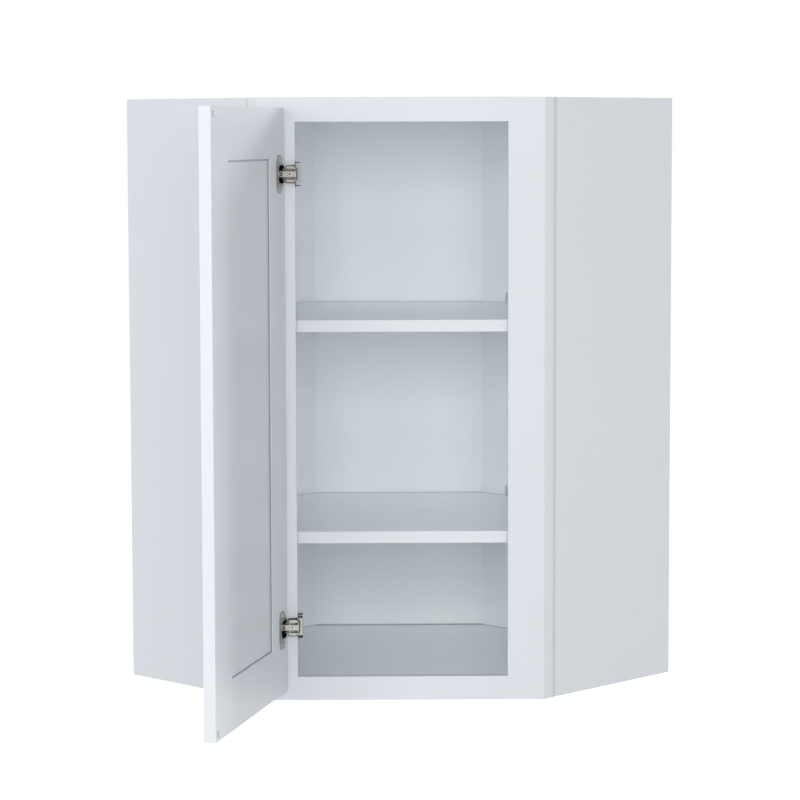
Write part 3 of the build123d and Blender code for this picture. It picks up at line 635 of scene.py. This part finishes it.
def edge_facts(mesh):
    """Middle, direction, length and angle of each edge, as whole arrays.

    The angle is that between the normals of the two faces, negative where the edge
    is a hollow: there the second face's middle lies in front of the first face.
    """
    points = np.empty(len(mesh.vertices) * 3)
    mesh.vertices.foreach_get("co", points)
    points = points.reshape(-1, 3)
    ends = np.empty(len(mesh.edges) * 2, int)
    mesh.edges.foreach_get("vertices", ends)
    first, second = points[ends.reshape(-1, 2)[:, 0]], points[ends.reshape(-1, 2)[:, 1]]
    sides = np.empty(len(mesh.polygons), int)
    mesh.polygons.foreach_get("loop_total", sides)
    loop_edge = np.empty(len(mesh.loops), int)
    mesh.loops.foreach_get("edge_index", loop_edge)
    normal = np.empty(len(mesh.polygons) * 3)
    mesh.polygons.foreach_get("normal", normal)
    centre = np.empty(len(mesh.polygons) * 3)
    mesh.polygons.foreach_get("center", centre)
    normal, centre = normal.reshape(-1, 3), centre.reshape(-1, 3)
    face = np.repeat(np.arange(len(sides)), sides)
    order = np.argsort(loop_edge, kind="stable")
    edge, face = loop_edge[order], face[order]
    start = np.searchsorted(edge, np.arange(len(mesh.edges)))
    paired = np.bincount(edge, minlength=len(mesh.edges)) == 2
    one = face[np.minimum(start, len(face) - 1)]
    two = face[np.minimum(start + 1, len(face) - 1)]
    angle = np.arccos(np.clip((normal[one] * normal[two]).sum(1), -1, 1))
    hollow = ((centre[two] - centre[one]) * normal[one]).sum(1) > 0
    length = np.linalg.norm(second - first, axis=1)
    direction = (second - first) / np.maximum(length, 1e-9)[:, None]
    return (first + second) / 2, direction, length, np.where(paired, np.where(hollow, -angle, angle), 0)


def eased(node, material, width, free=None, cuts=(), shortest=0.004, segments=3, dark=None):
    """Replaces a solid by a copy whose free edges are rounded to the given width.

    free picks the edges from their middles and directions and may give each a weight
    between 0 and 1, which scales the width. dark holds a second material, the test
    that picks its faces from their centres and normals, and whether the rounded
    edges take it too.
    """
    mesh = nodes[node].data.copy()
    mesh.name = f"{node}_eased"
    work = bmesh.new()
    work.from_mesh(mesh)
    bmesh.ops.remove_doubles(work, verts=work.verts, dist=SAME_POINT)
    bmesh.ops.dissolve_limit(work, angle_limit=SAME_PLANE, verts=work.verts, edges=work.edges)
    for point, normal in cuts:
        everything = work.verts[:] + work.edges[:] + work.faces[:]
        bmesh.ops.bisect_plane(work, geom=everything, plane_co=point, plane_no=normal, dist=1e-6)
    work.to_mesh(mesh)
    work.free()
    middle, direction, length, angle = edge_facts(mesh)
    chosen = (angle > SHARP) & (length > shortest)
    share = np.where(chosen, free(middle, direction) if free else 1.0, 0.0)
    weight = mesh.attributes.new("bevel_weight_edge", "FLOAT", "EDGE")
    weight.data.foreach_set("value", share.astype(np.float32))
    mesh.materials.clear()
    mesh.materials.append(material)
    if dark:
        mesh.materials.append(dark[0])
        facts = np.empty((2, len(mesh.polygons) * 3))
        mesh.polygons.foreach_get("center", facts[0])
        mesh.polygons.foreach_get("normal", facts[1])
        mesh.polygons.foreach_set("material_index", dark[1](*facts.reshape(2, -1, 3)).astype(np.int32))
    mesh.polygons.foreach_set("use_smooth", np.ones(len(mesh.polygons), bool))
    mesh.set_sharp_from_angle(angle=SHARP)
    piece = bpy.data.objects.new(f"{node}_eased", mesh)
    scene.collection.objects.link(piece)
    bevel = piece.modifiers.new("eased edges", "BEVEL")
    bevel.limit_method = "WEIGHT"
    bevel.width = width
    bevel.segments = segments
    bevel.harden_normals = True
    bevel.use_clamp_overlap = False
    bevel.material = 1 if dark and dark[2] else -1
    flat = piece.modifiers.new("flat boards", "WEIGHTED_NORMAL")
    flat.keep_sharp = True
    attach(piece, "door" if node in frame_bodies["door"] else "cabinet")
    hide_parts(node)
    print(piece.name, int((share > 0).sum()), "eased edges")
    return piece


record = frame["record"]
frame_bodies = record["behaviour"]["bodies"]

# %% [markdown]
# ## The face frame
#
# Two stiles and two rails, planed flush. The edges round the opening are eased
# between the joints only, and so is the front of the frame at its top and bottom.
# The slanting back edge of each stile is eased too: together with the eased edge
# of the side panel it makes the fine shadow line down each side of the cabinet,
# and painted shade along that seam darkens it further.

# %% Face frame
HALF_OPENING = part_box("top_rail")[1].x
FRAME_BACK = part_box("top_rail")[1].y
CASE_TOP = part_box("top_rail")[1].z
OPENING_LOW, OPENING_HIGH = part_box("bottom_rail")[1].z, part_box("top_rail")[0].z
HALF_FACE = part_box("right_stile")[1].x - FRAME_BACK
NEAR = 0.0002
GROOVE, CORNER_SHARE, OPENING_SHARE = 0.0014, 0.8, 0.5


def at(values, *targets):
    """True where a coordinate equals one of the targets."""
    return np.any([np.abs(values - target) < NEAR for target in targets], axis=0)


def frame_free(middle, direction):
    """Front edges round the opening and along the top and bottom, and the outer corners."""
    x, y, z = middle.T
    upright = np.abs(direction[:, 2]) > RUNS_UP
    beside = upright & at(np.abs(x), HALF_OPENING) & at(y, 0) & (z > OPENING_LOW) & (z < OPENING_HIGH)
    above = ~upright & at(y, 0) & at(z, 0, OPENING_LOW, OPENING_HIGH, CASE_TOP)
    groove = upright & at(np.abs(x), HALF_FACE + FRAME_BACK)
    corner = upright & at(np.abs(x), HALF_FACE)
    return np.where(groove, 1.0, np.where(corner, CORNER_SHARE, OPENING_SHARE * (beside | above)))


level_cuts = [((0, 0, OPENING_LOW), (0, 0, 1)), ((0, 0, OPENING_HIGH), (0, 0, 1))]
for side in ("left", "right"):
    eased(f"{side}_stile", finishes["frame_upright"], GROOVE, frame_free, level_cuts)
for place in ("top", "bottom"):
    eased(f"{place}_rail", finishes["frame_level"], GROOVE, frame_free)

# %% [markdown]
# ## The case
#
# The side panels are painted outside and eased along their front outer corner.
# The back panels, the top and the bottom are plain foil-faced board and keep
# their square edges, because each of them ends inside a joint or against a wall.

# %% Case boards
RIM_SHARE, BAND_EDGE = 0.4, 0.0004


def side_free(middle, direction):
    """The front outer corner, and the outer edges at the top and bottom."""
    x, y, z = middle.T
    outside = np.abs(np.abs(x) - HALF_FACE - y) < NEAR
    return np.where(y < FRAME_BACK + NEAR, 1.0, RIM_SHARE * at(z, 0, CASE_TOP)) * outside


for side in ("left", "right"):
    eased(f"{side}_side_panel", finishes[f"{side}_side"], GROOVE, side_free)


def dress(node, material):
    """Gives a solid whose shape is right its finish."""
    for place in nodes[node].material_slots:
        place.link = "OBJECT"
        place.material = material


for name in ("left", "right", "centre"):
    dress(f"{name}_back_panel", finishes[f"{name}_back"])
for name in ("top_panel", "bottom_panel", "upper_shelf", "lower_shelf"):
    dress(name, finishes["foil"])
for name in ("upper", "lower"):
    eased(f"{name}_shelf_edge_band", finishes["band"], BAND_EDGE, lambda m, d: np.abs(d[:, 0]) > RUNS_UP)

# %% [markdown]
# ## The door
#
# The door's outer edges are already rounded in the solid. What is left to ease
# are the inner edges of the frame that holds the flat panel, on both faces. The
# test is easier in the closed door's own directions, so the edges are first turned
# back about the hinge pins.

# %% Door boards
DOOR_BACK, DOOR_FRONT, DOOR_EDGE = -0.0032, -0.0212, 0.0007
PANEL_LOW, PANEL_HIGH = 0.0909, 0.8235


def turned(points, angle):
    """Points turned about the hinge pins' upright line by an angle, as a whole array."""
    c, s = math.cos(angle), math.sin(angle)
    away = np.asarray(points, float) - np.array(PIVOT)
    turn = np.array([[c, -s, 0], [s, c, 0], [0, 0, 1]])
    return away @ turn.T + np.array(PIVOT)


def door_free(middle, direction):
    """Inner edges of the door's frame on its front and back, between the joints."""
    x, y, z = turned(middle, OPEN_ANGLE).T
    upright = np.abs(direction[:, 2]) > RUNS_UP
    face = at(y, DOOR_BACK, DOOR_FRONT)
    beside = upright & at(np.abs(x), PANEL_X) & (z > PANEL_LOW) & (z < PANEL_HIGH)
    above = ~upright & at(z, PANEL_LOW, PANEL_HIGH) & (np.abs(x) < PANEL_X)
    return face & (beside | above)


door_cuts = [((0, 0, PANEL_LOW), (0, 0, 1)), ((0, 0, PANEL_HIGH), (0, 0, 1))]
for name in ("hinge", "latch"):
    eased(f"door_{name}_stile", finishes["door_upright"], DOOR_EDGE, door_free, door_cuts)
for name in ("top", "bottom"):
    eased(f"door_{name}_rail", finishes["door_level"], DOOR_EDGE, door_free)
dress("door_panel", finishes["door_panel"])

# %% [markdown]
# ## Turned parts
#
# Screws, pins, dowels and pads are all round. One function makes them: a profile
# gives a radius and a height for each row, the columns go round the axis, and a
# reshaping function may push every point in or out at once. The first and last
# rows close on a single point each. The recess of a cross-head screw, the thread
# on its shank and the flutes on a dowel are such reshapings, written as formulas
# on the whole grid.

# %% Surfaces of revolution


def solid_of_rows(points, first_pole, last_pole):
    """Vertices and faces of a closed skin: a grid of rows round an axis with a pole at each end."""
    rows, columns = points.shape[:2]
    vertices = np.concatenate([points.reshape(-1, 3), [first_pole, last_pole]])
    row, column = np.meshgrid(np.arange(rows - 1), np.arange(columns), indexing="ij")
    after = (column + 1) % columns
    this, below = row * columns, (row + 1) * columns
    quads = np.stack([this + column, this + after, below + after, below + column], -1)
    ring = np.arange(columns)
    ahead = (ring + 1) % columns
    top = np.stack([np.full(columns, rows * columns), ahead, ring], -1)
    last = (rows - 1) * columns
    bottom = np.stack([np.full(columns, rows * columns + 1), last + ring, last + ahead], -1)
    return vertices, quads.reshape(-1, 4).tolist() + top.tolist() + bottom.tolist()


def turned_part(radius, height, columns=40, reshape=None):
    """A profile (radius, height) carried round the Z axis: x = r cos a, y = r sin a, z = h."""
    angle = np.linspace(0, 2 * np.pi, columns, endpoint=False)[None, :]
    r = np.repeat(np.asarray(radius, float)[1:-1, None], columns, 1)
    z = np.repeat(np.asarray(height, float)[1:-1, None], columns, 1)
    if reshape:
        r, z = reshape(r, z, angle)
    points = np.stack([r * np.cos(angle), r * np.sin(angle), z], -1)
    poles = [(0, 0, float(z[0].mean() if radius[0] else height[0])), (0, 0, float(height[-1]))]
    return solid_of_rows(points, *poles)


def laid(vertices, place, ahead):
    """Turns a part whose axis is Z so that its axis points ahead, and moves it to its place."""
    turn = np.array(Vector(ahead).to_track_quat("Z", "Y").to_matrix())
    return np.asarray(vertices) @ turn.T + np.array(place)


def piece_from(name, parts, material, body, node, smooth=35, dark=None):
    """One object from several closed skins. It replaces a solid and rides on a body.

    dark holds a second material and, for every skin in turn, which of its faces take it.
    """
    vertices, faces, base = [], [], 0
    for points, cells in parts:
        vertices.append(np.asarray(points))
        faces += [[i + base for i in cell] for cell in cells]
        base += len(points)
    mesh = bpy.data.meshes.new(name)
    mesh.from_pydata(np.concatenate(vertices).tolist(), [], faces)
    work = bmesh.new()
    work.from_mesh(mesh)
    bmesh.ops.recalc_face_normals(work, faces=work.faces)
    work.to_mesh(mesh)
    work.free()
    mesh.materials.append(material)
    if dark:
        mesh.materials.append(dark[0])
        mesh.polygons.foreach_set("material_index", np.concatenate(dark[1]).astype(np.int32))
    mesh.polygons.foreach_set("use_smooth", np.ones(len(mesh.polygons), bool))
    mesh.set_sharp_from_angle(angle=math.radians(smooth))
    piece = bpy.data.objects.new(name, mesh)
    scene.collection.objects.link(piece)
    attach(piece, body)
    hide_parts(node)
    print(name, len(mesh.polygons), "faces")
    return piece


print("turning tools ready")

# %% [markdown]
# ## Screws
#
# The head is a shallow dome whose radius ends in a rounded rim. The recess is two
# crossed slots that narrow towards their ends and deepen towards the middle: at
# each point the slot's depth is the larger of two ramps, one per slot. The thread
# is a ridge on the shank whose height depends on how far a point lies from the
# line that climbs one pitch per turn.

# %% Screws
THREAD_PITCH = 0.0016
RECESS_SHARE = 0.62


def screw(head_radius, head_height, shank_radius, length, columns=48):
    """A cross-head screw along -Z with the underside of its head at height 0."""
    dome = np.linspace(0.02, 1, 22)
    rim = np.linspace(0, np.pi / 2, 5)[1:]
    round_off = head_height * 0.3
    core = shank_radius * 0.72
    rows = int(length / THREAD_PITCH * 10)
    down = np.linspace(0, 1, rows)
    flat = head_radius - round_off
    top_r = dome * flat
    top_h = head_height * (1 - 0.10 * dome**2)
    rim_r = flat + round_off * np.sin(rim)
    rim_h = head_height * 0.90 - round_off * (1 - np.cos(rim))
    neck_r, neck_h = [head_radius, head_radius * 0.97, core * 1.02], [head_height * 0.12, 0, 0]
    shank_r = core * np.where(down < 0.86, 1, (1 - down) / 0.14 * 0.98 + 0.02)
    radius = np.concatenate([[0], top_r, rim_r, neck_r, shank_r, [0]])
    height = np.concatenate([[head_height], top_h, rim_h, neck_h, -down * length, [-length]])
    recess = head_height * 0.75

    def reshape(r, z, a):
        x, y = np.abs(r * np.cos(a)), np.abs(r * np.sin(a))
        arm = head_radius * RECESS_SHARE
        half = head_radius * 0.15

        def slot(out, aside):
            """A ramp that falls from 1 at the middle to 0 at the slot's end and at its walls."""
            wall = (half * (1.1 - 0.5 * out / arm) - aside) / (0.3 * half)
            return np.clip(1 - out / arm, 0, 1) * np.clip(wall, 0, 1)

        one, two = slot(x, y), slot(y, x)
        inside = (z > head_height * 0.6) & (r < flat)
        z = np.where(inside, z - recess * np.clip(1.6 * np.maximum(one, two), 0, 1), z)
        phase = np.mod(z / THREAD_PITCH - a / (2 * np.pi), 1)
        ridge = (shank_radius - core) * np.clip(1 - np.abs(phase - 0.5) * 3.2, 0, 1)
        threaded = (z < -0.0008) & (z > -length)
        return np.where(threaded, r + ridge * np.clip(r / core, 0, 1), r), z

    return turned_part(radius, height, columns, reshape)


def recess_faces(vertices, faces, head_radius, head_height):
    """True for the faces on the walls and floor of the cross recess."""
    corners = np.array([cell if len(cell) == 4 else [*cell, cell[-1]] for cell in faces])
    middle = np.asarray(vertices)[corners].mean(1)
    away = np.hypot(middle[:, 0], middle[:, 1])
    return (middle[:, 2] > 0) & (middle[:, 2] < 0.80 * head_height) & (away < RECESS_SHARE * head_radius)


HINGE_HEIGHTS = {"lower": 0.1142, "upper": 0.8002}
FLANGE_X, FLANGE_FACE = -0.1605, -0.0020
ADJUSTER = (-0.1673, -0.0123036)
FRAME_SCREW = (-0.1569, 0.008)
SCREW_RISE = 0.0225
# Head radius and height, shank radius and length.
SCREWS = {
    "cup_screws": (0.0036, 0.0012, 0.0018, 0.013),
    "adjusting_screw": (0.0035, 0.0012, 0.00195, 0.0085),
    "frame_screw": (0.0039, 0.0020, 0.0018, 0.018),
}
for name, z in HINGE_HEIGHTS.items():
    ends = (z - SCREW_RISE, z + SCREW_RISE)
    places = {
        "cup_screws": [((FLANGE_X, FLANGE_FACE, end), (0, 1, 0)) for end in ends],
        "adjusting_screw": [((*ADJUSTER, z), (0, -1, 0))],
        "frame_screw": [((*FRAME_SCREW, z), (1, 0, 0))],
    }
    for part, size in SCREWS.items():
        vertices, faces = screw(*size)
        deep = recess_faces(vertices, faces, *size[:2])
        body = "door" if part == "cup_screws" else "cabinet"
        laid_out = [laid(vertices, *spot) for spot in places[part]]
        skins = [(turned(p, -OPEN_ANGLE) if body == "door" else p, faces) for p in laid_out]
        # The cross recess takes a near-black finish: painted shade.
        dark = (finishes["dull_edge"], [deep] * len(skins))
        solid, bright = f"{name}_{part}", finishes["bright_nickel"]
        piece_from(f"{solid}_threaded", skins, bright, body, solid, dark=dark)

# %% [markdown]
# ## Pins, springs, dowels and pads
#
# The pivot pin is a short bar with its ends peened round. The spring is a wire
# bent to a U that lies on the floor of the cup: its middle line runs straight,
# goes round a half circle and comes back, and a circle is carried along it. The
# dowels are chamfered and have the straight flutes that let glue escape. The pads
# on the door's back are low domes.

# %% Pins and pads
PIN_RADIUS, PIN_HALF, PIN_CAP = 0.0011, 0.0085953, 0.0004
PAD_RADIUS, PAD_HEIGHT, PAD_EDGE = 0.005, 0.003, 0.0007
PAD_X, PAD_HEIGHTS = 0.180, (0.0269, 0.8875)
bend = np.linspace(0, np.pi / 2, 6)
end_r = PIN_RADIUS - PIN_CAP * (1 - np.sin(bend))
end_h = PIN_CAP * (1 - np.cos(bend))
pin_r = np.concatenate([[0], end_r, end_r[::-1], [0]])
pin_h = np.concatenate([[0], end_h, (2 * PIN_HALF - end_h)[::-1], [2 * PIN_HALF]])
for name, z in HINGE_HEIGHTS.items():
    vertices, faces = turned_part(pin_r, pin_h, 28)
    skin = np.asarray(vertices) + np.array([PIVOT.x, PIVOT.y, z - PIN_HALF]), faces
    solid = f"{name}_pivot_pin"
    piece_from(f"{solid}_peened", [skin], finishes["bright_nickel"], "door", solid)

arc = np.linspace(0, np.pi / 2, 14)[1:]
crown_r = (PAD_RADIUS - PAD_EDGE) * np.sin(arc)
crown_h = PAD_HEIGHT * (0.78 + 0.22 * np.cos(arc))
rim_r = PAD_RADIUS - PAD_EDGE * (1 - np.sin(arc))
rim_h = crown_h[-1] - PAD_EDGE * (1 - np.cos(arc))
pad_r = np.concatenate([[0], crown_r, rim_r, [PAD_RADIUS, PAD_RADIUS, 0]])
pad_h = np.concatenate([[PAD_HEIGHT], crown_h, rim_h, [0.0006, 0, 0]])
skins = []
for z in PAD_HEIGHTS:
    vertices, faces = turned_part(pad_r, pad_h, 40)
    skins.append((turned(laid(vertices, (PAD_X, DOOR_BACK, z), (0, 1, 0)), -OPEN_ANGLE), faces))
piece_from("door_bumpers_domed", skins, finishes["pad"], "door", "door_bumpers")

# %% Springs
WIRE_RADIUS, SPRING_HALF = 0.0006, 0.0046
SPRING_START, SPRING_TIP, SPRING_Y = -0.1837, -0.1580, -0.0133036


def wire(path, radius, sides=14):
    """A circle carried along a path. Its plane is spanned by Y and the path's normal in XZ."""
    step = np.gradient(path, axis=0)
    step /= np.linalg.norm(step, axis=1)[:, None]
    across = np.cross(step, [0, 1, 0])
    angle = np.linspace(0, 2 * np.pi, sides, endpoint=False)
    ring = np.cos(angle)[None, :, None] * across[:, None, :]
    ring = ring + np.sin(angle)[None, :, None] * np.array([0, 1, 0])
    return solid_of_rows(path[:, None, :] + radius * ring, tuple(path[0]), tuple(path[-1]))


bend_x = SPRING_TIP - SPRING_HALF
straight = np.linspace(SPRING_START, bend_x, 12)[:-1]
turn = np.linspace(np.pi / 2, -np.pi / 2, 25)
side = np.full(len(straight), SPRING_HALF)
x = np.concatenate([straight, bend_x + SPRING_HALF * np.cos(turn), straight[::-1]])
rise = np.concatenate([side, SPRING_HALF * np.sin(turn), -side])
for name, z in HINGE_HEIGHTS.items():
    vertices, faces = wire(np.stack([x, np.full(len(x), SPRING_Y), z + rise], -1), WIRE_RADIUS)
    skin, solid = (turned(vertices, -OPEN_ANGLE), faces), f"{name}_closing_spring"
    piece_from(f"{solid}_wire", [skin], finishes["spring_steel"], "door", solid)

# %% Dowels
DOWEL_RADIUS, DOWEL_HALF = 0.004, 0.015
FLUTES, FLUTE_DEPTH, FLUTED_FROM = 16, 0.00022, 0.0038
DOWEL_HEIGHTS = (0.0092, 0.0272, 0.8872, 0.9052)
taper = np.array([0.0, 0.72, 0.78, 1.0])
dowel_r = DOWEL_RADIUS * np.concatenate([taper, np.ones(8), taper[::-1]])
straight = np.linspace(0.002, 0.028, 8)
dowel_h = np.concatenate([[0, 0, 0.0003, 0.0015], straight, [0.0285, 0.0297, 0.03, 0.03]])


def fluted(r, z, a):
    """Straight flutes: the radius dips where the cosine of FLUTES times the angle is low."""
    return r - FLUTE_DEPTH * np.clip(-np.cos(FLUTES * a) - 0.2, 0, 1) * (r > FLUTED_FROM), z


skins = []
for x in (-HALF_OPENING, HALF_OPENING):
    for z in DOWEL_HEIGHTS:
        vertices, faces = turned_part(dowel_r, dowel_h, 96, fluted)
        skins.append((laid(vertices, (x - DOWEL_HALF, FRAME_BACK / 2, z), (1, 0, 0)), faces))
piece_from("frame_dowels_fluted", skins, finishes["beech"], "cabinet", "frame_dowels", 60)

# %% [markdown]
# ## Pressed and cast hinge parts
#
# The arm, the plate and the cup are bent and drawn from sheet steel. The flat
# faces are plated nickel, the plate's in a lighter copy whose extra brightness is
# a painted highlight. The bent sides of the arm and the cut edges of the plate get
# a near-black finish instead: painted shade that draws a dark outline round every
# face of a hinge. The easing used for the boards gives that outline its width:
# about a millimetre round the arm's box and half of that round its slots. The
# inside of the cup gets hardly any light and is painted darker still, as shade.
# The block behind the arm is cast, with a matt skin.

# %% Hinge bodies
WEB_FRONT, WEB_BACK = -0.0123036, -0.0108036
SLOT_X, SLOT_Z = (-0.1716, -0.1584), (0.0043, 0.0081)
ARM_NECK, ARM_EDGE, SLOT_SHARE, BACK_SHARE = -0.1745, 0.0011, 0.5, 0.3
ANY_EDGE, LONG_EDGE, BLOCK_EDGE = 0.00001, 0.0012, 0.002
THIN, SOFT = 0.0003, 0.0004
CUP_X, BORE_RADIUS, CUP_LIP = -0.170, 0.0172, -0.0032


def arm_sides(height):
    """Tests for one arm: which edges to round, and which faces, the bent sides and cut edges, take the
    painted shade.
    """

    def near_slot(points):
        x, y, z = points.T
        rise = np.abs(z - height)
        in_x = (x > SLOT_X[0]) & (x < SLOT_X[1])
        return in_x & (rise > SLOT_Z[0]) & (rise < SLOT_Z[1]) & (y < WEB_BACK + NEAR)

    def free(middle, direction):
        front = at(middle[:, 1], WEB_FRONT)
        return np.where(near_slot(middle), SLOT_SHARE, np.where(front, 1.0, BACK_SHARE))

    def sides(centre, normal):
        return (np.abs(normal[:, 1]) < 0.5) & (centre[:, 0] > ARM_NECK)

    return free, sides


def cup_inside(height):
    """The faces within the cup's bore and below its lip, which take the painted shade."""

    def inside(centre, normal):
        x, y, z = turned(centre, OPEN_ANGLE).T
        return (np.hypot(x - CUP_X, z - height) < BORE_RADIUS) & (y < CUP_LIP)

    return inside


def cut_edges(centre, normal):
    """The plate's cut edges, which take the painted shade: every face that doesn't face along X."""
    return np.abs(normal[:, 0]) < 0.5


for name, z in HINGE_HEIGHTS.items():
    free, sides = arm_sides(z)
    # Painted shade: near-black finishes on the arm's bent sides, the plate's cut edges and the inside of
    # the cup.
    outline_shade = (finishes["dull_edge"], sides, True)
    plate_shade = (finishes["dark_zinc"], cut_edges, True)
    shade = (finishes["cup_shade"], cup_inside(z), True)
    arm, plate, cup = f"{name}_hinge_arm", f"{name}_frame_plate", f"{name}_hinge_cup"
    eased(arm, finishes["nickel"], ARM_EDGE, free, shortest=ANY_EDGE, segments=2, dark=outline_shade)
    eased(plate, finishes["bright_nickel"], THIN, shortest=LONG_EDGE, segments=2, dark=plate_shade)
    eased(cup, finishes["nickel"], SOFT, shortest=LONG_EDGE, segments=2, dark=shade)
    eased(f"{name}_adjusting_block", finishes["cast_zinc"], SOFT, shortest=BLOCK_EDGE, segments=2)
for name in ("upper", "lower"):
    eased(f"{name}_shelf_clips", finishes["clear"], THIN, shortest=LONG_EDGE, segments=2)
